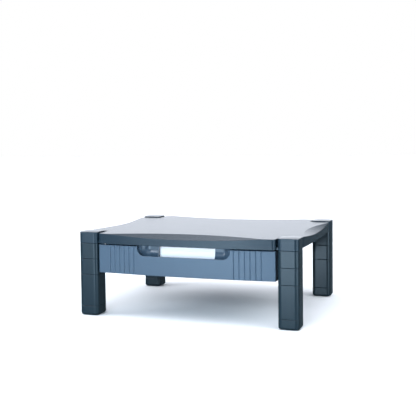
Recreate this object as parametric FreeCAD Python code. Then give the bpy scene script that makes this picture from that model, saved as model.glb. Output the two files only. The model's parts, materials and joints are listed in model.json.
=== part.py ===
import FreeCAD, Part
import math
import os

from FreeCAD import Vector

# Monitor riser stand: a ribbed deck on four stackable columns, with a drawer hung under it.
# Millimetres. +X to the right, +Y to the rear, +Z up.
# The origin is on the floor, under the middle of the stand.

# ---- driving dimensions -------------------------------------------------------------------
STAND_WIDTH = 432.0          # over the outer faces of the columns, along X
STAND_DEPTH = 337.0          # over the outer faces of the columns, along Y
COLUMN_SIDE = 39.0           # square section of every column piece
COLUMN_RADIUS = 8.0          # vertical corner rounding of the column
FOOT_HEIGHT = 19.5
LEG_HEIGHT = 60.7
RISER_HEIGHT = 30.2          # each of the two risers in a column
DECK_HEIGHT = 19.4           # from the top of the columns to the flat top of the deck
WALL = 3.0                   # moulded wall of the deck and the column pieces
APRON_BOW = 8.0              # how far the front and rear aprons bulge outward at mid length
RAIL_BOW = 3.0               # the same for the side rails
RAIL_INSET = 2.0             # ends of the side rails, inside the column faces
DRAWER_TRAVEL = 200.0
THROUGH = 1.0                # how far a cutter runs past the face it cuts

# ---- heights ------------------------------------------------------------------------------
FOOT_TOP = FOOT_HEIGHT
LEG_TOP = FOOT_TOP + LEG_HEIGHT
LOWER_RISER_TOP = LEG_TOP + RISER_HEIGHT
COLUMN_TOP = LOWER_RISER_TOP + RISER_HEIGHT
DECK_TOP = COLUMN_TOP + DECK_HEIGHT

# ---- plan ---------------------------------------------------------------------------------
FACE_X = STAND_WIDTH / 2                       # outer column face
FACE_Y = STAND_DEPTH / 2
COLUMN_X = FACE_X - COLUMN_SIDE / 2            # column axis
COLUMN_Y = FACE_Y - COLUMN_SIDE / 2
CORNERS = {
    "front_left": (-COLUMN_X, -COLUMN_Y),
    "front_right": (COLUMN_X, -COLUMN_Y),
    "rear_left": (-COLUMN_X, COLUMN_Y),
    "rear_right": (COLUMN_X, COLUMN_Y),
}

# ---- column joints ------------------------------------------------------------------------
SOCKET_SIDE = COLUMN_SIDE - 2 * WALL           # inside of every column piece
SPIGOT_GAP = 0.3                               # spigot to socket, per side
SPIGOT_SIDE = SOCKET_SIDE - 2 * SPIGOT_GAP
SPIGOT_RADIUS = COLUMN_RADIUS - WALL
SPIGOT_HEIGHT = 12.0
SPIGOT_WALL = 2.4
SPIGOT_LEAD = 1.0                              # chamfer at the tip of a spigot
BORE_SIDE = SPIGOT_SIDE - 2 * SPIGOT_WALL      # inside of a spigot
BORE_RADIUS = SPIGOT_RADIUS - SPIGOT_WALL
WEB = 3.0                                      # plate that carries the spigot
SEAM_UPPER = 0.5                               # chamfer on the piece above a seam
SEAM_LOWER = 1.0                               # chamfer on the piece below it
FOOT_EDGE = 4.0                                # rounding round the sole of a foot
PAD_RADIUS = 13.0
PAD_HEIGHT = 3.0
PAD_PROUD = 1.0
PAD_GAP = 0.2
PAD_EDGE = 0.5

# ---- corner caps --------------------------------------------------------------------------
SLIT = 3.0                                     # groove between a corner collar and the deck
SLIT_DEPTH = 15.0
COLLAR_TOP = DECK_TOP - 0.2
CAP_RIM_TOP = DECK_TOP + 1.2
CAP_DOME = 1.5
CAP_SKIRT = 5.0
CAP_EDGE = 0.9

# ---- deck ---------------------------------------------------------------------------------
SLAB_X = FACE_X - COLUMN_SIDE - SLIT           # half width of the deck between the collars
SLAB_Y = FACE_Y - COLUMN_SIDE - SLIT
SLAB_CORNER = 7.0
SLAB_EDGE = 0.8                                # rounding of the aprons' and rails' long edges
SCOOP_DIP = 6.0                                # the crescent scoops in the four top edges
FRONT_SCOOP_MARGIN = 7.0                       # scoop end to the end of its edge, front and rear
SIDE_SCOOP_MARGIN = 5.0
SCOOP_LEAD = 20.0                              # how far outside its edge a scoop cutter starts
FRONT_SCOOP_RUN = 38.0                         # scoop depth in plan, front and rear
SIDE_SCOOP_RUN = 20.0
RIB = 2.0
RIB_DROP = 5.0                                 # rib height below the top plate
RIB_BOTTOM = DECK_TOP - WALL - RIB_DROP
RIB_SINK = 1.0                                 # ribs and bosses end this far below the deck's surface
LONG_RIB_X = (-120.0, -60.0, 0.0, 60.0, 120.0)
CROSS_RIB_Y = (-90.0, -30.0, 30.0, 90.0)
BRIDGE = 3.0                                   # overlap of the webs that hold the collars

# ---- drawer front -------------------------------------------------------------------------
SIDE_GAP = 3.5                                 # drawer front to the columns
FRONT_HALF = FACE_X - COLUMN_SIDE - SIDE_GAP
FRONT_BOTTOM = 84.8
FRONT_TOP = COLUMN_TOP - 2.0
FRONT_INSET = 2.5                              # drawer front behind the apron
FRONT_BACK_Y = -FACE_Y + 6.5
FRONT_SKIN = 3.0
FRONT_EDGE = 1.2
RETURN = 2.0                                   # thickness of the side return at each end
RETURN_REAR_Y = -FACE_Y + 22.0
STIFFENER = 2.0                                # upright ribs behind the skin
STIFFENER_PITCH = 33.0
STIFFENERS = 4                                 # on each side of the middle one
GROOVE_COUNT = 6
GROOVE_FIRST = 98.0
GROOVE_PITCH = 10.1
GROOVE_HALF = 1.8                              # half width of the V cutter at its mouth
GROOVE_DEPTH = 1.4

PULL_HALF = 91.0                               # finger recess in the drawer front
PULL_LIP = 120.8
PULL_FLOOR = 112.0
PULL_BACK_Y = -FACE_Y + 18.0
PULL_RADIUS = 14.0                             # lower corners of its opening
BOWL_RADIUS = 19.0                             # rounding inside it
PULL_WALL = 2.5
PULL_EDGE = 1.0                                # rounding round the mouth of the recess
CLEAR_ABOVE = 20.0                             # cutters of the recess reach this far above and in front
LABEL_HALF = 56.3
LABEL_BOTTOM = 116.5
LABEL_POCKET = 8.0                             # depth of the label pocket behind the recess
LABEL_SILL = 8.0                               # how far its floor runs forward to meet the bowl
CARD = 1.0
CARD_SLOT = 0.8                                # how far the card runs into its side slots
CARD_GAP = 0.2

# ---- drawer tray --------------------------------------------------------------------------
TRAY_HALF = 157.0
TRAY_FRONT_Y = FRONT_BACK_Y
TRAY_REAR_Y = 122.0
TRAY_BOTTOM = FRONT_BOTTOM + 2.0
TRAY_TOP = FRONT_TOP - 2.5
TRAY_WALL = 2.5
TRAY_CORNER = 6.0
TRAY_SOLE = 2.0                                # rounding round the tray's underside
TRAY_RIM = 0.8                                 # and along its top edge
FLANGE = 2.6                                   # thickness of the side flanges
FLANGE_HALF = 167.5
FLANGE_TOP = TRAY_TOP - FLANGE
FLANGE_BOTTOM = FLANGE_TOP - FLANGE
SKIRT = 1.5                                    # thickening of the tray's sides under the flanges
SKIRT_DROP = 6.0
OVERLAP = 1.0                                  # how far a fused piece runs into its neighbour

# ---- runners ------------------------------------------------------------------------------
RUNNER_OUTER = SLAB_X - WALL - 0.5             # clear of the walls between the collars
RUNNER_WALL = 2.0
RUNNER_FRONT_Y = -FACE_Y + 24.0
RUNNER_REAR_Y = 128.0
RUNNER_TOP = RIB_BOTTOM
LEDGE_INNER = 160.5
LEDGE_TOP = FLANGE_BOTTOM - 0.4
GUIDE_INNER = 163.5
GUIDE_BOTTOM = FLANGE_TOP + 0.6
MOUNT_INNER = 156.0
STOP_LENGTH = 4.0
STOP_INNER = 158.5                             # X of the travel stops on runner and tray
STOP_OUTER = 162.5
STOP_CLEARANCE = 0.5

# ---- screws -------------------------------------------------------------------------------
SCREW_SHANK = 1.5
SCREW_HEAD = 3.0
SCREW_HEAD_HEIGHT = 1.8
SCREW_CROSS = 0.4                              # half width of the cross recess
SCREW_CROSS_DEPTH = 0.8
SCREW_HOLE = 1.8
BOSS = 4.5
RUNNER_SCREW_X = 163.5
RUNNER_SCREW_Y = (-120.0, 0.0, 105.0)
RUNNER_SCREW_LENGTH = 6.0
DRIVER_HOLE = 3.5                              # driver access through the runner's guide
FRONT_SCREW_X = 132.0
FRONT_SCREW_Z = (98.0, 126.0)
FRONT_SCREW_LENGTH = 5.5
FRONT_BOSS = 4.0
FRONT_BOSS_LENGTH = 12.0

TINY = 1e-4
FACE_TOLERANCE = 0.02


# ---- helpers ------------------------------------------------------------------------------
def box(x, y, z):
    """A box from three (low, high) pairs."""
    size = (x[1] - x[0], y[1] - y[0], z[1] - z[0])
    return Part.makeBox(*size, Vector(x[0], y[0], z[0]))


def both_sides(low, high, side):
    """A (low, high) pair along X, on the right for side 1 and mirrored for side -1."""
    return sorted((side * low, side * high))


def is_upright(edge):
    return not edge.Degenerated and abs(edge.tangentAt(edge.FirstParameter).z) > 0.99


def edges_at(shape, z):
    """The edges that lie flat at one height."""
    return [e for e in shape.Edges
            if abs(e.BoundBox.ZMin - z) < TINY and abs(e.BoundBox.ZMax - z) < TINY]


def rounded_square(side, radius, z_low, z_high, centre=(0.0, 0.0)):
    """An upright square bar with rounded corners."""
    half = side / 2
    bar = box((-half, half), (-half, half), (z_low, z_high))
    bar = bar.makeFillet(radius, [e for e in bar.Edges if is_upright(e)])
    bar.translate(Vector(centre[0], centre[1], 0))
    return bar


def bowed_slab(half_width, end_y, bow, z_low, z_high):
    """A slab across X whose front and rear edges bulge outward by bow at the middle."""
    corners = [Vector(half_width, -end_y, z_low), Vector(half_width, end_y, z_low),
               Vector(-half_width, end_y, z_low), Vector(-half_width, -end_y, z_low)]
    rear_arc = Part.Arc(corners[1], Vector(0, end_y + bow, z_low), corners[2])
    front_arc = Part.Arc(corners[3], Vector(0, -end_y - bow, z_low), corners[0])
    outline = Part.Wire([Part.makeLine(corners[0], corners[1]), rear_arc.toShape(),
                         Part.makeLine(corners[2], corners[3]), front_arc.toShape()])
    return Part.Face(outline).extrude(Vector(0, 0, z_high - z_low))


def face_normal(face):
    """The outward direction at the middle of a face."""
    u_low, u_high, v_low, v_high = face.ParameterRange
    return face.normalAt((u_low + u_high) / 2, (v_low + v_high) / 2)


def quarter_turn(shape):
    """The same shape turned a quarter turn about the stand's upright axis."""
    turned = shape.copy()
    turned.rotate(Vector(0, 0, 0), Vector(0, 0, 1), 90)
    return turned


def mirror_x(shape):
    return shape.mirror(Vector(0, 0, 0), Vector(1, 0, 0))


def mirror_y(shape):
    return shape.mirror(Vector(0, 0, 0), Vector(0, 1, 0))


def save(name, shape):
    solids = shape.Solids
    if not solids or not shape.isValid():
        raise ValueError("bad shape: " + name)
    piece = solids[0] if len(solids) == 1 else Part.Compound(solids)
    piece.exportStep("parts/" + name + ".step")


# ---- columns ------------------------------------------------------------------------------
def spigot(z, centre):
    """The tube on top of a column piece that plugs into the piece above."""
    tip = z + SPIGOT_HEIGHT
    outer = rounded_square(SPIGOT_SIDE, SPIGOT_RADIUS, z - WEB / 2, tip, centre)
    outer = outer.makeChamfer(SPIGOT_LEAD, edges_at(outer, tip))
    return outer.cut(rounded_square(BORE_SIDE, BORE_RADIUS, z, tip + THROUGH, centre))


def column_piece(z_low, height, centre):
    """A riser or leg: a square tube, open below, closed above by the web under its spigot."""
    z_high = z_low + height
    body = rounded_square(COLUMN_SIDE, COLUMN_RADIUS, z_low, z_high, centre)
    body = body.makeChamfer(SEAM_UPPER, edges_at(body, z_low))
    body = body.makeChamfer(SEAM_LOWER, edges_at(body, z_high))
    bore = rounded_square(SOCKET_SIDE, SPIGOT_RADIUS, z_low - THROUGH, z_high - WEB, centre)
    return body.cut(bore).fuse(spigot(z_high, centre)).removeSplitter()


def foot(centre):
    """The bottom piece: rounded sole with a recess for its rubber pad, and a spigot on top."""
    body = rounded_square(COLUMN_SIDE, COLUMN_RADIUS, PAD_PROUD, FOOT_TOP, centre)
    body = body.makeFillet(FOOT_EDGE, edges_at(body, PAD_PROUD))
    body = body.makeChamfer(SEAM_LOWER, edges_at(body, FOOT_TOP))
    recess = Part.makeCylinder(PAD_RADIUS + PAD_GAP, PAD_HEIGHT, Vector(*centre, 0))
    core = rounded_square(BORE_SIDE, BORE_RADIUS, PAD_HEIGHT + WEB, FOOT_TOP + THROUGH, centre)
    return body.fuse(spigot(FOOT_TOP, centre)).cut(recess).cut(core).removeSplitter()


def foot_pad(centre):
    pad = Part.makeCylinder(PAD_RADIUS, PAD_HEIGHT, Vector(*centre, 0))
    return pad.makeFillet(PAD_EDGE, edges_at(pad, 0))


def make_columns():
    for corner, centre in CORNERS.items():
        save("foot_pad_" + corner, foot_pad(centre))
        save("foot_" + corner, foot(centre))
        save("leg_" + corner, column_piece(FOOT_TOP, LEG_HEIGHT, centre))
        save("lower_riser_" + corner, column_piece(LEG_TOP, RISER_HEIGHT, centre))
        save("upper_riser_" + corner, column_piece(LOWER_RISER_TOP, RISER_HEIGHT, centre))


# ---- corner caps --------------------------------------------------------------------------
def corner_cap(centre):
    """A domed lid on the collar, with a skirt that plugs into the collar."""
    top = CAP_RIM_TOP + CAP_DOME
    lid = rounded_square(COLUMN_SIDE, COLUMN_RADIUS, COLLAR_TOP, top + THROUGH)
    half_diagonal = COLUMN_SIDE / math.sqrt(2)
    dome_radius = (half_diagonal ** 2 + CAP_DOME ** 2) / (2 * CAP_DOME)
    lid = lid.common(Part.makeSphere(dome_radius, Vector(0, 0, top - dome_radius)))
    rim = [e for e in lid.Edges if not is_upright(e) and e.BoundBox.ZMin > COLLAR_TOP + TINY]
    lid = lid.makeFillet(CAP_EDGE, rim)
    skirt_low = COLLAR_TOP - CAP_SKIRT
    skirt = rounded_square(SPIGOT_SIDE, SPIGOT_RADIUS, skirt_low, COLLAR_TOP + OVERLAP)
    hollow = rounded_square(BORE_SIDE, BORE_RADIUS, skirt_low - THROUGH, COLLAR_TOP)
    cap = lid.fuse(skirt).cut(hollow).removeSplitter()
    cap.translate(Vector(centre[0], centre[1], 0))
    return cap


# ---- deck ---------------------------------------------------------------------------------
def round_slab_ends(slab, half_width, end_y):
    """Soften the four upright corners where an apron or rail ends beside a collar."""
    corners = [e for e in slab.Edges
               if is_upright(e)
               and abs(abs(e.BoundBox.Center.x) - half_width) < TINY
               and abs(abs(e.BoundBox.Center.y) - end_y) < TINY]
    return slab.makeFillet(SLAB_CORNER, corners)


def front_scoop(half_length, edge_y, run, z_top):
    """A crescent cutter that dips along X and fades out over run towards the middle."""
    slope = SCOOP_DIP / run
    z_start = z_top - SCOOP_LEAD * slope
    y_start = -edge_y - SCOOP_LEAD
    left = Vector(-half_length, y_start, z_start)
    right = Vector(half_length, y_start, z_start)
    arc = Part.Arc(left, Vector(0, y_start, z_start - SCOOP_DIP), right).toShape()
    high = z_top + CLEAR_ABOVE
    high_left = Vector(-half_length, y_start, high)
    high_right = Vector(half_length, y_start, high)
    outline = Part.Wire([arc, Part.makeLine(right, high_right),
                         Part.makeLine(high_right, high_left), Part.makeLine(high_left, left)])
    length = SCOOP_LEAD + 2 * run
    return Part.Face(outline).extrude(Vector(0, length, length * slope))


def end_scoops(z_top):
    """The cutters of the front and rear edges."""
    front = front_scoop(SLAB_X - FRONT_SCOOP_MARGIN, FACE_Y + APRON_BOW, FRONT_SCOOP_RUN, z_top)
    return [front, mirror_y(front)]


def side_scoops(z_top):
    """The cutters of the side edges, drawn along X, a quarter turn from their place."""
    edge_y = FACE_X - RAIL_INSET + RAIL_BOW
    side = front_scoop(SLAB_Y - SIDE_SCOOP_MARGIN, edge_y, SIDE_SCOOP_RUN, z_top)
    return [side, mirror_y(side)]


def soften_outline(arm):
    """Round the long edges of an apron or rail, where its outer face meets its top and underside."""
    outline = []
    for edge in arm.Edges:
        upright = [abs(face_normal(f).z) < 0.1 for f in arm.ancestorsOfType(edge, Part.Face)]
        if upright.count(True) == 1:
            outline.append(edge)
    return arm.makeFillet(SLAB_EDGE, outline)


def cross_slab(inset, z_low, z_high):
    """The deck's cross-shaped plan between the collars, drawn in by inset, with its scoops."""
    along_x = bowed_slab(SLAB_X - inset, FACE_Y - inset, APRON_BOW, z_low, z_high)
    along_y = bowed_slab(SLAB_Y - inset, FACE_X - RAIL_INSET - inset, RAIL_BOW, z_low, z_high)
    if inset == 0:
        along_x = round_slab_ends(along_x, SLAB_X, FACE_Y)
        along_y = round_slab_ends(along_y, SLAB_Y, FACE_X - RAIL_INSET)
    arms = [along_x.cut(end_scoops(z_high)), along_y.cut(side_scoops(z_high))]
    if inset == 0:
        arms = [soften_outline(arm) for arm in arms]
    return arms[0].fuse(quarter_turn(arms[1]))


def collar(centre):
    """Collar that a column plugs into from below and a cap from above, with its webs."""
    x, y = centre
    side_x = math.copysign(1, x)
    side_y = math.copysign(1, y)
    ring = rounded_square(COLUMN_SIDE, COLUMN_RADIUS, COLUMN_TOP, COLLAR_TOP, centre)
    ring = ring.makeChamfer(SEAM_UPPER, edges_at(ring, COLUMN_TOP))
    height = (COLUMN_TOP, DECK_TOP - SLIT_DEPTH)
    reach = COLUMN_SIDE / 2 - COLUMN_RADIUS
    across_x = both_sides(SLAB_X - BRIDGE, SLAB_X + SLIT + OVERLAP, side_x)
    across_y = both_sides(SLAB_Y - BRIDGE, SLAB_Y + SLIT + OVERLAP, side_y)
    webs = [box(across_x, (y - reach, y + reach), height),
            box((x - reach, x + reach), across_y, height)]
    return ring.fuse(webs)


def deck_ribs():
    """A grid of low ribs under the deck, and the bosses that take the runner screws."""
    rib_top = DECK_TOP - RIB_SINK
    height = (RIB_BOTTOM, rib_top)
    end_x = FACE_X - RAIL_INSET - OVERLAP
    end_y = FACE_Y - OVERLAP
    ribs = [box((x - RIB / 2, x + RIB / 2), (-end_y, end_y), height) for x in LONG_RIB_X]
    ribs += [box((-end_x, end_x), (y - RIB / 2, y + RIB / 2), height) for y in CROSS_RIB_Y]
    for x in (-RUNNER_SCREW_X, RUNNER_SCREW_X):
        for y in RUNNER_SCREW_Y:
            ribs.append(Part.makeCylinder(BOSS, rib_top - RIB_BOTTOM, Vector(x, y, RIB_BOTTOM)))
    scoops = end_scoops(rib_top) + [quarter_turn(s) for s in side_scoops(rib_top)]
    return ribs[0].fuse(ribs[1:]).cut(scoops)


def deck():
    """One moulding: top plate, aprons, rails, ribs, screw bosses and four corner collars."""
    shell = cross_slab(0, COLUMN_TOP, DECK_TOP)
    shell = shell.cut(cross_slab(WALL, COLUMN_TOP - THROUGH, DECK_TOP - WALL))
    shell = shell.fuse([deck_ribs()] + [collar(c) for c in CORNERS.values()])
    sockets = [rounded_square(SOCKET_SIDE, SPIGOT_RADIUS, COLUMN_TOP - THROUGH, DECK_TOP, c)
               for c in CORNERS.values()]
    pilots = [Part.makeCylinder(SCREW_SHANK, RUNNER_SCREW_LENGTH, Vector(x, y, RIB_BOTTOM - THROUGH))
              for x in (-RUNNER_SCREW_X, RUNNER_SCREW_X) for y in RUNNER_SCREW_Y]
    return shell.cut(sockets).cut(pilots).removeSplitter()


# ---- runners ------------------------------------------------------------------------------
def runner_right():
    """A channel under the deck: mounting flange, web, ledge for the tray, guide and end stops."""
    length = (RUNNER_FRONT_Y, RUNNER_REAR_Y)
    ledge = (LEDGE_TOP - RUNNER_WALL, LEDGE_TOP)
    full = (LEDGE_TOP - RUNNER_WALL, RUNNER_TOP)
    web = box((RUNNER_OUTER - RUNNER_WALL, RUNNER_OUTER), length, full)
    parts = [
        box((MOUNT_INNER, RUNNER_OUTER), length, (RUNNER_TOP - RUNNER_WALL, RUNNER_TOP)),
        box((LEDGE_INNER, RUNNER_OUTER), length, ledge),
        box((GUIDE_INNER, RUNNER_OUTER), length, (GUIDE_BOTTOM, GUIDE_BOTTOM + RUNNER_WALL)),
        box((STOP_INNER, STOP_OUTER), (RUNNER_FRONT_Y, RUNNER_FRONT_Y + STOP_LENGTH),
            (GUIDE_BOTTOM, RUNNER_TOP)),
        box((LEDGE_INNER, RUNNER_OUTER), (RUNNER_REAR_Y - RUNNER_WALL, RUNNER_REAR_Y), full),
    ]
    channel = web.fuse(parts)
    cutter = RUNNER_WALL + 2 * THROUGH
    holes = []
    for y in RUNNER_SCREW_Y:
        mount = Vector(RUNNER_SCREW_X, y, RUNNER_TOP - RUNNER_WALL - THROUGH)
        holes.append(Part.makeCylinder(SCREW_HOLE, cutter, mount))
        guide = Vector(RUNNER_SCREW_X, y, GUIDE_BOTTOM - THROUGH)
        holes.append(Part.makeCylinder(DRIVER_HOLE, cutter, guide))
    return channel.cut(holes).removeSplitter()


def screw(length):
    """A pan-head screw that points up, with its head's underside at z = 0."""
    head = Part.makeCylinder(SCREW_HEAD, SCREW_HEAD_HEIGHT, Vector(0, 0, -SCREW_HEAD_HEIGHT))
    head = head.makeFillet(SCREW_HEAD_HEIGHT / 2, edges_at(head, -SCREW_HEAD_HEIGHT))
    shank = Part.makeCylinder(SCREW_SHANK, length)
    arm = SCREW_HEAD * 0.6
    depth = (-SCREW_HEAD_HEIGHT - THROUGH, -SCREW_HEAD_HEIGHT + SCREW_CROSS_DEPTH)
    cross = [box((-arm, arm), (-SCREW_CROSS, SCREW_CROSS), depth),
             box((-SCREW_CROSS, SCREW_CROSS), (-arm, arm), depth)]
    return head.fuse(shank).cut(cross)


def runner_screws():
    screws = []
    for x in (-RUNNER_SCREW_X, RUNNER_SCREW_X):
        for y in RUNNER_SCREW_Y:
            one = screw(RUNNER_SCREW_LENGTH)
            one.translate(Vector(x, y, RUNNER_TOP - RUNNER_WALL))
            screws.append(one)
    return Part.Compound(screws)


# ---- drawer front -------------------------------------------------------------------------
def front_plan(set_back, half_width, z_low, z_high):
    """The drawer front's plan: a bowed face, set back by set_back, to a flat back."""
    end_y = -FACE_Y + FRONT_INSET + set_back
    corners = [Vector(-half_width, end_y, z_low), Vector(half_width, end_y, z_low),
               Vector(half_width, FRONT_BACK_Y, z_low), Vector(-half_width, FRONT_BACK_Y, z_low)]
    face_arc = Part.Arc(corners[0], Vector(0, end_y - APRON_BOW, z_low), corners[1]).toShape()
    outline = Part.Wire([face_arc, Part.makeLine(corners[1], corners[2]),
                         Part.makeLine(corners[2], corners[3]), Part.makeLine(corners[3], corners[0])])
    return Part.Face(outline).extrude(Vector(0, 0, z_high - z_low))


def front_face_y(x):
    """Where the bowed face of the drawer front is, at a given x."""
    radius = (FRONT_HALF ** 2 + APRON_BOW ** 2) / (2 * APRON_BOW)
    drop = radius - math.sqrt(radius ** 2 - x ** 2)
    return -FACE_Y + FRONT_INSET - APRON_BOW + drop


def on_front_face(edge):
    """Whether an edge lies on the bowed face of the drawer front."""
    span = edge.LastParameter - edge.FirstParameter
    points = [edge.valueAt(edge.FirstParameter + share * span) for share in (0.0, 0.5, 1.0)]
    return all(abs(p.y - front_face_y(p.x)) < FACE_TOLERANCE for p in points)


def grooves():
    """Upright V grooves, a group at each end of the drawer front."""
    cutters = []
    for i in range(GROOVE_COUNT):
        x = GROOVE_FIRST + i * GROOVE_PITCH
        y = front_face_y(x)
        z = FRONT_BOTTOM - THROUGH
        mouth_y = y - GROOVE_DEPTH / 2
        points = [Vector(x - GROOVE_HALF, mouth_y, z), Vector(x, y + GROOVE_DEPTH, z),
                  Vector(x + GROOVE_HALF, mouth_y, z)]
        profile = Part.Face(Part.makePolygon(points + points[:1]))
        cutter = profile.extrude(Vector(0, 0, FRONT_TOP - FRONT_BOTTOM + 2 * THROUGH))
        cutters += [cutter, mirror_x(cutter)]
    return cutters


def rounded_cup(half_width, y_back, z_floor, radius):
    """A bar-shaped bowl, open above and in front, rounded below, behind and at its ends."""
    cup = box((-half_width, half_width), (-FACE_Y - CLEAR_ABOVE, y_back),
              (z_floor, FRONT_TOP + CLEAR_ABOVE))
    rounded = []
    for e in cup.Edges:
        c = e.BoundBox.Center
        low = abs(c.z - z_floor) < TINY
        behind = abs(c.y - y_back) < TINY
        end = abs(abs(c.x) - half_width) < TINY
        if (low and behind) or (low and end) or (behind and end):
            rounded.append(e)
    return cup.makeFillet(radius, rounded)


def pull_notch():
    """The opening of the finger recess in the face of the drawer front."""
    notch = box((-PULL_HALF, PULL_HALF), (-FACE_Y - CLEAR_ABOVE, FRONT_BACK_Y),
                (PULL_LIP, FRONT_TOP + CLEAR_ABOVE))
    corners = [e for e in notch.Edges
               if abs(e.tangentAt(e.FirstParameter).y) > 0.99
               and abs(e.BoundBox.ZMin - PULL_LIP) < TINY]
    return notch.makeFillet(PULL_RADIUS, corners)


def front_panel():
    """The skin with its edges turned back, stiffeners, screw bosses and a return at each end."""
    panel = front_plan(0, FRONT_HALF, FRONT_BOTTOM, FRONT_TOP)
    face_edges = [e for e in panel.Edges if e.BoundBox.YMax < FRONT_BACK_Y - TINY]
    panel = panel.makeFillet(FRONT_EDGE, face_edges)
    inside = (FRONT_BOTTOM + FRONT_SKIN, FRONT_TOP - FRONT_SKIN)
    hollow = front_plan(FRONT_SKIN, FRONT_HALF - 2 * FRONT_SKIN, *inside)
    filling = [box((i * STIFFENER_PITCH - STIFFENER / 2, i * STIFFENER_PITCH + STIFFENER / 2),
                   (-FACE_Y - APRON_BOW, FRONT_BACK_Y), inside)
               for i in range(-STIFFENERS, STIFFENERS + 1)]
    start = FRONT_BACK_Y - FRONT_BOSS_LENGTH
    filling += [Part.makeCylinder(FRONT_BOSS, FRONT_BOSS_LENGTH, Vector(x, start, z), Vector(0, 1, 0))
                for x in (-FRONT_SCREW_X, FRONT_SCREW_X) for z in FRONT_SCREW_Z]
    panel = panel.cut(hollow.cut(filling))
    returns = [box(both_sides(FRONT_HALF - RETURN, FRONT_HALF, side),
                   (FRONT_BACK_Y - OVERLAP, RETURN_REAR_Y), (FRONT_BOTTOM, FRONT_TOP))
               for side in (-1, 1)]
    return panel.fuse(returns)


def recess_body():
    """The outside of the bowl and of the label pocket, behind the skin and below the top edge."""
    reach = 2 * CLEAR_ABOVE
    bowl = rounded_cup(PULL_HALF + PULL_WALL, PULL_BACK_Y + PULL_WALL, PULL_FLOOR - PULL_WALL,
                       BOWL_RADIUS + PULL_WALL)
    bowl = bowl.cut(box((-FACE_X, FACE_X), (-FACE_Y - reach, 0), (FRONT_TOP, FRONT_TOP + reach)))
    in_front = box((-FACE_X, FACE_X), (-FACE_Y - reach, FRONT_BACK_Y - OVERLAP), (0, DECK_TOP))
    within_panel = front_plan(FRONT_SKIN, FRONT_HALF, FRONT_BOTTOM, FRONT_TOP)
    holder = box((-LABEL_HALF - PULL_WALL, LABEL_HALF + PULL_WALL),
                 (PULL_BACK_Y - LABEL_SILL, PULL_BACK_Y + LABEL_POCKET + PULL_WALL),
                 (LABEL_BOTTOM - PULL_WALL, FRONT_TOP))
    return [bowl.cut(in_front), bowl.common(within_panel), holder]


def recess_cutters():
    """The inside of the bowl, the label pocket, the card's side slots and the mouth."""
    skin = front_plan(0, FRONT_HALF, FRONT_BOTTOM, FRONT_TOP + THROUGH)
    behind_skin = front_plan(FRONT_SKIN, FRONT_HALF, FRONT_BOTTOM - THROUGH, FRONT_TOP + 2 * THROUGH)
    cavity = rounded_cup(PULL_HALF, PULL_BACK_Y, PULL_FLOOR, BOWL_RADIUS).cut(skin.cut(behind_skin))
    cavity = cavity.common(box((-FACE_X, FACE_X), (-FACE_Y - THROUGH, 0), (0, DECK_TOP)))
    pocket_back = PULL_BACK_Y + LABEL_POCKET
    height = (LABEL_BOTTOM, FRONT_TOP + THROUGH)
    pocket = box((-LABEL_HALF, LABEL_HALF), (PULL_BACK_Y - BOWL_RADIUS, pocket_back), height)
    slot_half = LABEL_HALF + CARD_SLOT + CARD_GAP
    slot = box((-slot_half, slot_half), (pocket_back - CARD - CARD_GAP, pocket_back), height)
    return [cavity, pocket, slot, pull_notch()]


def drawer_front():
    """Bowed front with grooves, and the cup-shaped finger recess moulded behind it."""
    front = front_panel().fuse(recess_body())
    depth = FRONT_SCREW_LENGTH - TRAY_WALL + THROUGH
    pilots = [Part.makeCylinder(SCREW_SHANK, depth, Vector(x, FRONT_BACK_Y + THROUGH, z), Vector(0, -1, 0))
              for x in (-FRONT_SCREW_X, FRONT_SCREW_X) for z in FRONT_SCREW_Z]
    front = front.cut(recess_cutters()).cut(pilots).cut(grooves()).removeSplitter()
    mouth = [e for e in front.Edges
             if not e.Degenerated and e.BoundBox.ZMin > PULL_LIP - TINY
             and max(abs(e.BoundBox.XMin), abs(e.BoundBox.XMax)) < PULL_HALF + TINY and on_front_face(e)]
    return front.makeFillet(PULL_EDGE, mouth)


def label_card():
    """A blank card that slides down into the pocket behind the finger recess."""
    half = LABEL_HALF + CARD_SLOT
    y_back = PULL_BACK_Y + LABEL_POCKET - CARD_GAP / 2
    return box((-half, half), (y_back - CARD, y_back), (LABEL_BOTTOM, FRONT_TOP - 1.0))


# ---- drawer tray --------------------------------------------------------------------------
def tray_bar(inset, z_low, z_high):
    """The tray's rounded rectangle in plan, drawn in by inset."""
    bar = box((-TRAY_HALF + inset, TRAY_HALF - inset), (TRAY_FRONT_Y + inset, TRAY_REAR_Y - inset),
              (z_low, z_high))
    return bar.makeFillet(TRAY_CORNER - inset, [e for e in bar.Edges if is_upright(e)])


def tray_side(side):
    """Flange that rides in the runner, travel stop, and the thickening under the flange."""
    stop_front = RUNNER_FRONT_Y + STOP_LENGTH + DRAWER_TRAVEL + STOP_CLEARANCE
    inner = TRAY_HALF - OVERLAP
    return [
        box(both_sides(inner, FLANGE_HALF, side), (RUNNER_FRONT_Y, TRAY_REAR_Y),
            (FLANGE_BOTTOM, FLANGE_TOP)),
        box(both_sides(STOP_INNER, STOP_OUTER - STOP_CLEARANCE, side),
            (stop_front, stop_front + STOP_LENGTH),
            (FLANGE_TOP - OVERLAP, GUIDE_BOTTOM + RUNNER_WALL)),
        box(both_sides(inner, TRAY_HALF + SKIRT, side), (RUNNER_FRONT_Y, TRAY_REAR_Y - TRAY_CORNER),
            (FLANGE_BOTTOM - SKIRT_DROP, FLANGE_BOTTOM)),
    ]


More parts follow.
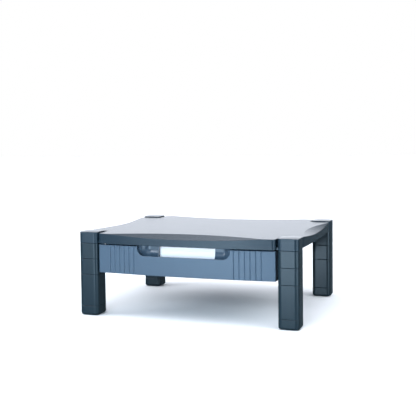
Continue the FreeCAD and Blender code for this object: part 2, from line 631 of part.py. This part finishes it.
def drawer_tray():
    """Open-topped tray with side flanges, cut away in front where the finger recess reaches in."""
    inside = tray_bar(TRAY_WALL, TRAY_BOTTOM + TRAY_WALL, TRAY_TOP + THROUGH)
    tray = tray_bar(0, TRAY_BOTTOM, TRAY_TOP).cut(inside)
    tray = tray.fuse(tray_side(-1) + tray_side(1))
    gap = PULL_WALL + 1.0
    window = box((-PULL_HALF - 2 * gap, PULL_HALF + 2 * gap),
                 (TRAY_FRONT_Y - THROUGH, TRAY_FRONT_Y + TRAY_CORNER),
                 (PULL_FLOOR - gap, TRAY_TOP + THROUGH))
    holes = [Part.makeCylinder(SCREW_HOLE, TRAY_WALL + 2 * THROUGH,
                               Vector(x, TRAY_FRONT_Y - THROUGH, z), Vector(0, 1, 0))
             for x in (-FRONT_SCREW_X, FRONT_SCREW_X) for z in FRONT_SCREW_Z]
    tray = tray.cut([window] + holes).removeSplitter()
    tray = tray.makeFillet(TRAY_SOLE, edges_at(tray, TRAY_BOTTOM))
    return tray.makeFillet(TRAY_RIM, edges_at(tray, TRAY_TOP))


def drawer_front_screws():
    screws = []
    for x in (-FRONT_SCREW_X, FRONT_SCREW_X):
        for z in FRONT_SCREW_Z:
            one = screw(FRONT_SCREW_LENGTH)
            one.rotate(Vector(0, 0, 0), Vector(1, 0, 0), 90)
            one.translate(Vector(x, TRAY_FRONT_Y + TRAY_WALL, z))
            screws.append(one)
    return Part.Compound(screws)


# ---- build --------------------------------------------------------------------------------
def main():
    os.makedirs("parts", exist_ok=True)
    save("deck", deck())
    for corner, centre in CORNERS.items():
        save("corner_cap_" + corner, corner_cap(centre))
    right = runner_right()
    save("runner_right", right)
    save("runner_left", mirror_x(right))
    save("runner_screws", runner_screws())
    save("drawer_front", drawer_front())
    save("label_card", label_card())
    save("drawer_tray", drawer_tray())
    save("drawer_front_screws", drawer_front_screws())
    make_columns()


main()
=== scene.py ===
import json
import math

import bmesh
import bpy
from mathutils import Matrix, Vector


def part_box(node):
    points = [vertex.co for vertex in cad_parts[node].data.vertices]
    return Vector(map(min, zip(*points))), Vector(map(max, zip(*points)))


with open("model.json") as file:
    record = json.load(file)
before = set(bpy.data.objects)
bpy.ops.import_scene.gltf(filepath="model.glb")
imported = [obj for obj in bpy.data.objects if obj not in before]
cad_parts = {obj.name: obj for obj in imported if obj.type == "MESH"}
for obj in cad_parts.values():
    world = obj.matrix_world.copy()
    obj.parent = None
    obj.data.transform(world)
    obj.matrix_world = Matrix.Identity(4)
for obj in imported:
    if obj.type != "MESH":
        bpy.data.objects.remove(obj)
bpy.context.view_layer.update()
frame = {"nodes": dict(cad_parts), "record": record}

# ---- camera -------------------------------------------------------------------------------
CAMERA_PLACE = Vector((0.49786, -1.41543, 0.33318))
CAMERA_YAW = 0.3445          # turned left of +Y, radians
CAMERA_PITCH = 0.0481        # tipped down
CAMERA_ROLL = -0.0111
CAMERA_LENS = 63.79          # mm
CAMERA_SENSOR = 36.0
CAMERA_SHIFT_Y = -0.075      # the photograph's uprights stay nearly parallel


def add_camera():
    """Camera at the photograph's viewing angle."""
    forward = Vector((-math.sin(CAMERA_YAW) * math.cos(CAMERA_PITCH),
                      math.cos(CAMERA_YAW) * math.cos(CAMERA_PITCH),
                      -math.sin(CAMERA_PITCH)))
    level = Vector((math.cos(CAMERA_YAW), math.sin(CAMERA_YAW), 0.0))
    above = level.cross(forward)
    right = level * math.cos(CAMERA_ROLL) + above * math.sin(CAMERA_ROLL)
    up = above * math.cos(CAMERA_ROLL) - level * math.sin(CAMERA_ROLL)
    turn = Matrix((right, up, -forward)).transposed()
    data = bpy.data.cameras.new("camera")
    data.lens = CAMERA_LENS
    data.sensor_width = CAMERA_SENSOR
    data.shift_y = CAMERA_SHIFT_Y
    camera = bpy.data.objects.new("camera", data)
    camera.matrix_world = Matrix.Translation(CAMERA_PLACE) @ turn.to_4x4()
    bpy.context.scene.collection.objects.link(camera)
    bpy.context.scene.camera = camera


# ---- node helpers -------------------------------------------------------------------------
def map_range(tree, value, low, high, to_low=0.0, to_high=1.0):
    """Value from low..high carried over to to_low..to_high, held at both ends."""
    node = tree.nodes.new("ShaderNodeMapRange")
    node.inputs["From Min"].default_value = low
    node.inputs["From Max"].default_value = high
    node.inputs["To Min"].default_value = to_low
    node.inputs["To Max"].default_value = to_high
    tree.links.new(value, node.inputs["Value"])
    return node.outputs["Result"]


def mix_colours(tree, share, first, second):
    """Two colours mixed by share; each colour is a socket or three numbers."""
    node = tree.nodes.new("ShaderNodeMix")
    node.data_type = "RGBA"
    tree.links.new(share, node.inputs["Factor"])
    for key, colour in (("A", first), ("B", second)):
        socket = [s for s in node.inputs if s.name == key and s.type == "RGBA"][0]
        if isinstance(colour, tuple):
            socket.default_value = (*colour, 1.0)
        else:
            tree.links.new(colour, socket)
    return [s for s in node.outputs if s.type == "RGBA"][0]


def glowing(name, colour):
    """Material that only gives off light, of strength 1."""
    material = bpy.data.materials.new(name)
    material.use_nodes = True
    tree = material.node_tree
    tree.nodes.clear()
    glow = tree.nodes.new("ShaderNodeEmission")
    glow.inputs["Color"].default_value = (*colour, 1.0)
    glow.inputs["Strength"].default_value = 1.0
    end = tree.nodes.new("ShaderNodeOutputMaterial")
    tree.links.new(glow.outputs[0], end.inputs["Surface"])
    return material


# ---- world and backdrop -------------------------------------------------------------------
SKY = (                      # height of the direction (0 level, 1 straight up), colour
    (0.00, (0.42, 0.45, 0.50)),
    (0.14, (0.30, 0.33, 0.38)),
    (0.24, (0.10, 0.12, 0.15)),
    (0.60, (0.16, 0.19, 0.24)),
    (0.78, (2.3, 2.4, 2.6)),
)
WALL = (1.62, 1.70, 1.86)    # a bright wall behind the stand
WALL_TOWARDS = Vector((-0.33, 0.94, 0.06)).normalized()
WALL_SPAN = (0.92, 0.98)     # cosine of the angle from its middle: outer edge, full brightness
BELOW = (0.10, 0.13, 0.15)   # dark table, seen only in reflections
BELOW_SPAN = (0.0, -0.02)    # height of the direction over which it takes over
DOME_RADIUS = 20.0
FLOOR_HALF = 14.0
FLOOR_COLOUR = (0.86, 0.86, 0.86)
RAYS = ("camera", "diffuse", "glossy", "transmission", "volume_scatter", "shadow")


def add_world():
    """A pale studio: bright walls low down, a brighter one behind, and broad soft light overhead."""
    world = bpy.data.worlds.new("studio")
    world.use_nodes = True
    tree = world.node_tree
    place = tree.nodes.new("ShaderNodeTexCoord")
    parts = tree.nodes.new("ShaderNodeSeparateXYZ")
    ramp = tree.nodes.new("ShaderNodeValToRGB")
    tree.links.new(place.outputs["Generated"], parts.inputs[0])
    tree.links.new(parts.outputs["Z"], ramp.inputs["Fac"])
    stops = ramp.color_ramp.elements
    while len(stops) < len(SKY):
        stops.new(0.5)
    for stop, (height, colour) in zip(stops, SKY):
        stop.position = height
        stop.color = (*colour, 1.0)
    towards = tree.nodes.new("ShaderNodeVectorMath")
    towards.operation = "DOT_PRODUCT"
    towards.inputs[1].default_value = WALL_TOWARDS
    tree.links.new(place.outputs["Generated"], towards.inputs[0])
    wall_share = map_range(tree, towards.outputs["Value"], *WALL_SPAN)
    below_share = map_range(tree, parts.outputs["Z"], *BELOW_SPAN)
    colour = mix_colours(tree, wall_share, ramp.outputs["Color"], WALL)
    colour = mix_colours(tree, below_share, colour, BELOW)
    tree.links.new(colour, tree.nodes["Background"].inputs["Color"])
    bpy.context.scene.world = world


def show_only_to(piece, shown):
    """Hide a piece from every kind of ray but one."""
    for ray in RAYS:
        setattr(piece, "visible_" + ray, ray == shown)


def add_backdrop():
    """A plain white dome that only the camera sees, so the floor fades into white all round."""
    bm = bmesh.new()
    bmesh.ops.create_icosphere(bm, subdivisions=4, radius=DOME_RADIUS)
    mesh = bpy.data.meshes.new("backdrop")
    bm.to_mesh(mesh)
    bm.free()
    mesh.materials.append(glowing("backdrop_white", (1.0, 1.0, 1.0)))
    dome = bpy.data.objects.new("backdrop", mesh)
    show_only_to(dome, "camera")
    bpy.context.scene.collection.objects.link(dome)


def add_panel(name, corners, material):
    """One flat four-cornered panel."""
    mesh = bpy.data.meshes.new(name)
    mesh.from_pydata(corners, [], [(0, 1, 2, 3)])
    mesh.materials.append(material)
    panel = bpy.data.objects.new(name, mesh)
    bpy.context.scene.collection.objects.link(panel)
    return panel


def add_floor():
    """White floor. Glossy surfaces mirror the dark table of the world instead."""
    material = bpy.data.materials.new("floor_white")
    material.use_nodes = True
    shader = material.node_tree.nodes["Principled BSDF"]
    shader.inputs["Base Color"].default_value = (*FLOOR_COLOUR, 1.0)
    shader.inputs["Roughness"].default_value = 0.9
    shader.inputs["Specular IOR Level"].default_value = 0.1
    half = FLOOR_HALF
    corners = [(-half, -half, 0), (half, -half, 0), (half, half, 0), (-half, half, 0)]
    floor = add_panel("floor", corners, material)
    floor.visible_glossy = False


# ---- lights -------------------------------------------------------------------------------
SOFTBOXES = (                # name, place, aim, size, watts, colour, whether glossy surfaces mirror it
    ("front", (0.0, -1.3, 0.36), (0, 0, 0.12), (0.7, 0.7), 18, (0.72, 0.86, 1.0), False),
    ("strip", (-0.95, -1.9, 0.50), (-0.1, -0.15, 0.12), (0.16, 0.8), 5, (0.86, 0.93, 1.0), True),
    ("high_front", (0.0, -1.5, 1.05), (0, 0, 0.12), (1.5, 1.0), 8, (0.74, 0.87, 1.0), True),
    ("right", (2.0, -0.2, 1.6), (0, 0, 0.1), (1.2, 1.2), 20, (0.88, 0.95, 1.0), True),
    ("left", (-2.0, -0.7, 1.6), (0, 0, 0.1), (1.2, 1.2), 30, (0.88, 0.93, 1.0), True),
)
GLINTS = (                   # name, left and right end (x, y), first and last brightness, x of the last
    ("glint_front", (-1.6, -2.2), (-0.02, -2.2), (0.5, 9.5), -0.3),
    ("glint_corner", (1.63, -1.86), (2.41, -0.36), (8.0, 4.0), 2.41),
)
GLINT_COLOUR = (0.60, 0.81, 1.0)
GLINT_HEIGHTS = (-0.55, -0.05)   # bottom and top, below the table's face
GLINT_FADE = (-0.42, -0.1)       # heights between which they go from dim to full
GLINT_DIM = 0.10


def add_softbox(name, place, target, size, power, colour, mirrored):
    data = bpy.data.lights.new(name, "AREA")
    data.shape = "RECTANGLE"
    data.size, data.size_y = size
    data.energy = power
    data.color = colour
    light = bpy.data.objects.new(name, data)
    light.location = place
    aim = Vector(target) - Vector(place)
    light.rotation_euler = aim.to_track_quat("-Z", "Y").to_euler()
    light.visible_camera = False
    light.visible_glossy = mirrored
    bpy.context.scene.collection.objects.link(light)


def add_glint(name, left, right, brightness, last_x):
    """Upright panel below the table's face that only reflections show.
    It stands for what a polished table would mirror of the softboxes."""
    material = glowing(name, GLINT_COLOUR)
    material.cycles.emission_sampling = "NONE"
    tree = material.node_tree
    place = tree.nodes.new("ShaderNodeNewGeometry")
    parts = tree.nodes.new("ShaderNodeSeparateXYZ")
    tree.links.new(place.outputs["Position"], parts.inputs[0])
    strength = tree.nodes.new("ShaderNodeMath")
    strength.operation = "MULTIPLY"
    across = map_range(tree, parts.outputs["X"], left[0], last_x, *brightness)
    upward = map_range(tree, parts.outputs["Z"], *GLINT_FADE, GLINT_DIM, 1.0)
    tree.links.new(across, strength.inputs[0])
    tree.links.new(upward, strength.inputs[1])
    tree.links.new(strength.outputs[0], tree.nodes["Emission"].inputs["Strength"])
    bottom, top = GLINT_HEIGHTS
    corners = [(*left, bottom), (*right, bottom), (*right, top), (*left, top)]
    show_only_to(add_panel(name, corners, material), "glossy")


def add_lights():
    add_world()
    add_backdrop()
    for glint in GLINTS:
        add_glint(*glint)
    for softbox in SOFTBOXES:
        add_softbox(*softbox)


# ---- materials ----------------------------------------------------------------------------
COLUMN_COLOUR = (0.0075, 0.0160, 0.0220)
DECK_COLOUR = (0.0085, 0.0180, 0.0270)
DRAWER_COLOUR = (0.040, 0.066, 0.096)
TRAY_COLOUR = (0.030, 0.050, 0.072)
RUNNER_COLOUR = (0.022, 0.026, 0.030)
RUBBER_COLOUR = (0.012, 0.012, 0.013)
ZINC_COLOUR = (0.60, 0.61, 0.64)
PAPER_COLOUR = (0.92, 0.93, 0.96)

MIDDLE = (0.3, 0.7)          # the part of a noise's range that its values mostly fill
FLOW_SCALE = 5.0             # scales of the plastic's noises, per metre
SCUFF_SCALE = 26.0
EDGE_NOISE_SCALE = 60.0
MOTTLE_SCALE = 520.0
GLOSS_SCALE = 900.0
GRAIN_SCALE = 1600.0
FLECK_SCALE = 1900.0
EDGE_RADIUS = 0.0009         # how far the paler band along edges reaches: partly rubbing, partly painted highlight
EDGE_ROUNDING = 0.0005       # radius that the shading gives to sharp edges
GRAIN_HEIGHT = 0.0003
POLISHED_ROUGHNESS = 0.14
RECESS_HALF = 0.091          # finger recess of the drawer front
RECESS_BEHIND = 0.0035       # its polished surface starts this far behind the front's foremost point
RECESS_BLUR = 0.0005         # width over which the finish changes


class Nodes:
    """Short calls for building a material's node tree."""

    def __init__(self, name):
        self.material = bpy.data.materials.new(name)
        self.material.use_nodes = True
        self.tree = self.material.node_tree
        self.shader = self.tree.nodes["Principled BSDF"]
        place = self.tree.nodes.new("ShaderNodeTexCoord")
        self.place = place.outputs["Object"]

    def link(self, source, target):
        self.tree.links.new(source, target)

    def noise(self, scale, detail=3.0, roughness=0.5, stretch=None):
        node = self.tree.nodes.new("ShaderNodeTexNoise")
        node.inputs["Scale"].default_value = scale
        node.inputs["Detail"].default_value = detail
        node.inputs["Roughness"].default_value = roughness
        where = self.place
        if stretch:
            mapping = self.tree.nodes.new("ShaderNodeMapping")
            mapping.inputs["Scale"].default_value = stretch
            self.link(where, mapping.inputs["Vector"])
            where = mapping.outputs["Vector"]
        self.link(where, node.inputs["Vector"])
        return node.outputs["Fac"]

    def band(self, value, span, to_low=0.0, to_high=1.0):
        return map_range(self.tree, value, *span, to_low, to_high)

    def mix(self, share, first, second):
        return mix_colours(self.tree, share, first, second)

    def maths(self, operation, first, second):
        """second is a socket or a number."""
        node = self.tree.nodes.new("ShaderNodeMath")
        node.operation = operation
        self.link(first, node.inputs[0])
        if isinstance(second, float):
            node.inputs[1].default_value = second
        else:
            self.link(second, node.inputs[1])
        return node.outputs[0]

    def wear_and_highlight_edges(self, radius, low, high):
        """1 along sharp edges and 0 away from them, broken up by a soft noise; the mask paints paler
        edges, partly rubbing and partly painted highlight.
        """
        bevel = self.tree.nodes.new("ShaderNodeBevel")
        bevel.samples = 4
        bevel.inputs["Radius"].default_value = radius
        surface = self.tree.nodes.new("ShaderNodeNewGeometry")
        likeness = self.tree.nodes.new("ShaderNodeVectorMath")
        likeness.operation = "DOT_PRODUCT"
        self.link(bevel.outputs["Normal"], likeness.inputs[0])
        self.link(surface.outputs["Normal"], likeness.inputs[1])
        edge = self.band(likeness.outputs["Value"], (high, low))
        breaks = self.band(self.noise(EDGE_NOISE_SCALE), (0.35, 0.65), 0.35, 1.0)
        return self.maths("MULTIPLY", edge, breaks)

    def bump(self, height, strength, distance, rounding=0.0):
        node = self.tree.nodes.new("ShaderNodeBump")
        node.inputs["Strength"].default_value = strength
        node.inputs["Distance"].default_value = distance
        self.link(height, node.inputs["Height"])
        if rounding:
            bevel = self.tree.nodes.new("ShaderNodeBevel")
            bevel.samples = 4
            bevel.inputs["Radius"].default_value = rounding
            self.link(bevel.outputs["Normal"], node.inputs["Normal"])
        self.link(node.outputs["Normal"], self.shader.inputs["Normal"])


def scaled(colour, factor):
    return tuple(channel * factor for channel in colour)


def plastic_tone(nodes, colour, grain, edge):
    """Faint flow marks, mottling and flecks, and paler edges: partly rubbing, partly a painted
    highlight.
    """
    flow = nodes.band(nodes.noise(FLOW_SCALE), MIDDLE)
    mottle = nodes.band(nodes.noise(MOTTLE_SCALE, detail=2.0), MIDDLE, 0.0, 0.14 * grain)
    fleck = nodes.band(nodes.noise(FLECK_SCALE, detail=2.0), MIDDLE, 0.0, 0.15)
    tone = nodes.mix(flow, scaled(colour, 0.95), scaled(colour, 1.05))
    tone = nodes.mix(mottle, tone, scaled(colour, 1.45))
    tone = nodes.mix(fleck, tone, scaled(colour, 1.55))
    # paler sharp edges and seams: part rubbing, part painted highlight
    return nodes.mix(nodes.maths("MULTIPLY", edge, 0.6), tone, scaled(colour, 3.0))


def moulded_plastic(name, colour, roughness, grain=1.0, scuffs=0.0, polished=None):
    """Injection-moulded plastic with a fine spark grain.
    polished is a function that returns a 0 to 1 mask of mirror-finished surfaces."""
    nodes = Nodes(name)
    # mask for the paler edges (rubbing and painted highlight) and a little extra gloss along them
    edge = nodes.wear_and_highlight_edges(EDGE_RADIUS, 0.80, 0.985)
    nodes.link(plastic_tone(nodes, colour, grain, edge), nodes.shader.inputs["Base Color"])
    spread = 0.03 * grain
    uneven = nodes.noise(GLOSS_SCALE, detail=2.0)
    gloss = nodes.band(uneven, MIDDLE, roughness - spread, roughness + spread)
    if scuffs:
        streaks = nodes.noise(SCUFF_SCALE, detail=6.0, roughness=0.7, stretch=(1.0, 9.0, 1.0))
        gloss = nodes.maths("ADD", gloss, nodes.band(streaks, (0.55, 0.75), 0.0, scuffs))
    gloss = nodes.maths("ADD", gloss, nodes.maths("MULTIPLY", edge, -0.08))
    relief = nodes.noise(GRAIN_SCALE, detail=2.0)
    if polished:
        mask = polished(nodes)
        gloss = nodes.maths("ADD", gloss, nodes.maths("MULTIPLY", mask, POLISHED_ROUGHNESS - roughness))
        relief = nodes.maths("MULTIPLY", relief, nodes.band(mask, (0.0, 1.0), 1.0, 0.1))
    nodes.link(gloss, nodes.shader.inputs["Roughness"])
    nodes.bump(relief, strength=0.22 * grain, distance=GRAIN_HEIGHT, rounding=EDGE_ROUNDING)
    nodes.shader.inputs["IOR"].default_value = 1.5
    return nodes.material


def recess_mask(nodes):
    """1 inside the polished cup of the drawer front, 0 on its grained face."""
    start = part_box("drawer_front")[0].y + RECESS_BEHIND
    parts = nodes.tree.nodes.new("ShaderNodeSeparateXYZ")
    nodes.link(nodes.place, parts.inputs[0])
    behind = nodes.band(parts.outputs["Y"], (start, start + RECESS_BLUR))
    across = nodes.tree.nodes.new("ShaderNodeMath")
    across.operation = "ABSOLUTE"
    nodes.link(parts.outputs["X"], across.inputs[0])
    within = nodes.band(across.outputs[0], (RECESS_HALF, RECESS_HALF + RECESS_BLUR), 1.0, 0.0)
    return nodes.maths("MULTIPLY", behind, within)


def rubber(name, colour):
    nodes = Nodes(name)
    dust = nodes.band(nodes.noise(scale=90.0, detail=5.0, roughness=0.65), (0.45, 0.75))
    nodes.link(nodes.mix(dust, colour, scaled(colour, 2.2)), nodes.shader.inputs["Base Color"])
    roughness = nodes.band(nodes.noise(scale=300.0), MIDDLE, 0.72, 0.9)
    nodes.link(roughness, nodes.shader.inputs["Roughness"])
    nodes.bump(nodes.noise(scale=700.0), strength=0.3, distance=0.0004)
    return nodes.material


def zinc(name, colour):
    """Zinc-plated steel with a slight yellow-blue passivation tint and a fine uneven gloss."""
    nodes = Nodes(name)
    tint = nodes.band(nodes.noise(scale=220.0), (0.35, 0.65))
    warm = (colour[0] * 1.05, colour[1], colour[2] * 0.86)
    nodes.link(nodes.mix(tint, colour, warm), nodes.shader.inputs["Base Color"])
    nodes.shader.inputs["Metallic"].default_value = 1.0
    roughness = nodes.band(nodes.noise(scale=500.0, detail=4.0), MIDDLE, 0.26, 0.42)
    nodes.link(roughness, nodes.shader.inputs["Roughness"])
    grain = nodes.noise(scale=2200.0, detail=2.0)
    nodes.bump(grain, strength=0.15, distance=0.0001, rounding=0.0002)
    return nodes.material


def paper(name, colour):
    """Smooth white card with a faint fibre texture."""
    nodes = Nodes(name)
    fibre = nodes.noise(scale=420.0, detail=6.0, roughness=0.7, stretch=(1.0, 1.0, 3.0))
    tone = nodes.mix(nodes.band(fibre, (0.35, 0.65)), scaled(colour, 0.965), colour)
    nodes.link(tone, nodes.shader.inputs["Base Color"])
    nodes.shader.inputs["Roughness"].default_value = 0.62
    nodes.bump(fibre, strength=0.12, distance=0.0002)
    return nodes.material


def slot_materials():
    return {
        "deck_plastic": moulded_plastic("deck_plastic", DECK_COLOUR, 0.23, grain=0.7, scuffs=0.04),
        "cap_plastic": moulded_plastic("cap_plastic", DECK_COLOUR, 0.21, grain=0.6),
        "column_plastic": moulded_plastic("column_plastic", COLUMN_COLOUR, 0.21, grain=0.6),
        "drawer_plastic": moulded_plastic("drawer_plastic", DRAWER_COLOUR, 0.30, grain=0.3,
                                          polished=recess_mask),
        "tray_plastic": moulded_plastic("tray_plastic", TRAY_COLOUR, 0.46, grain=1.3),
        "runner_plastic": moulded_plastic("runner_plastic", RUNNER_COLOUR, 0.42),
        "pad_rubber": rubber("pad_rubber", RUBBER_COLOUR),
        "screw_steel": zinc("screw_steel", ZINC_COLOUR),
        "card_paper": paper("card_paper", PAPER_COLOUR),
    }


def dress_nodes():
    """Every CAD node keeps its mesh and gets the material of its slot."""
    slots = {entry["node"]: entry["material_slot"] for entry in frame["record"]["subparts"]}
    materials = slot_materials()
    for name, node in frame["nodes"].items():
        node.data.materials.clear()
        node.data.materials.append(materials[slots[name]])


add_camera()
add_lights()
add_floor()
dress_nodes()
bpy.context.scene.view_settings.view_transform = "Standard"
